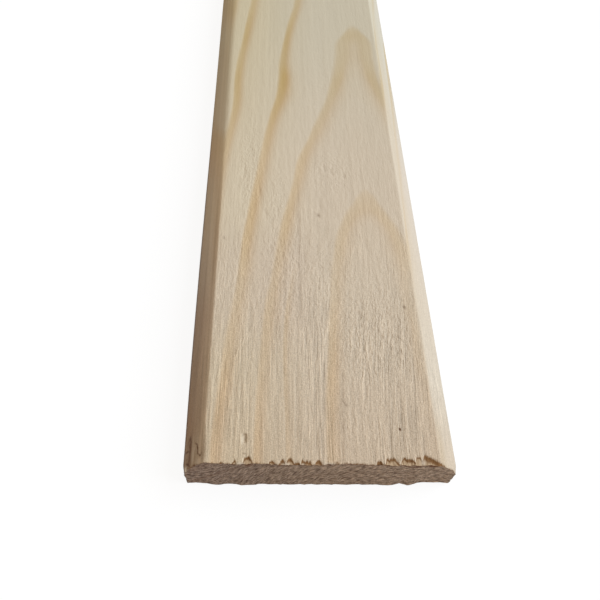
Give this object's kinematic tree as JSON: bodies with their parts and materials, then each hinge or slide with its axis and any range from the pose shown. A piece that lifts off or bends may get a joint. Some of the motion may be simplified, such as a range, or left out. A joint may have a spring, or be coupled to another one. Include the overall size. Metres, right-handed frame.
{
  "type": "wooden batten",
  "caption": "Planed softwood batten: a long flat rectangular strip with a bevel along both sides of its front face and square sawn ends.",
  "frame": {"origin": "centre of the back face, which lies on the floor", "axes": "+Y along the length, +X across the width, +Z from the back face to the bevelled front face"},
  "size_m": [0.04, 1, 0.01],
  "materials": {
    "pine": "planed, unfinished, with rough sawn ends"
  },
  "bodies": {
    "root": {"batten": "pine"}
  },
  "joints": []
}
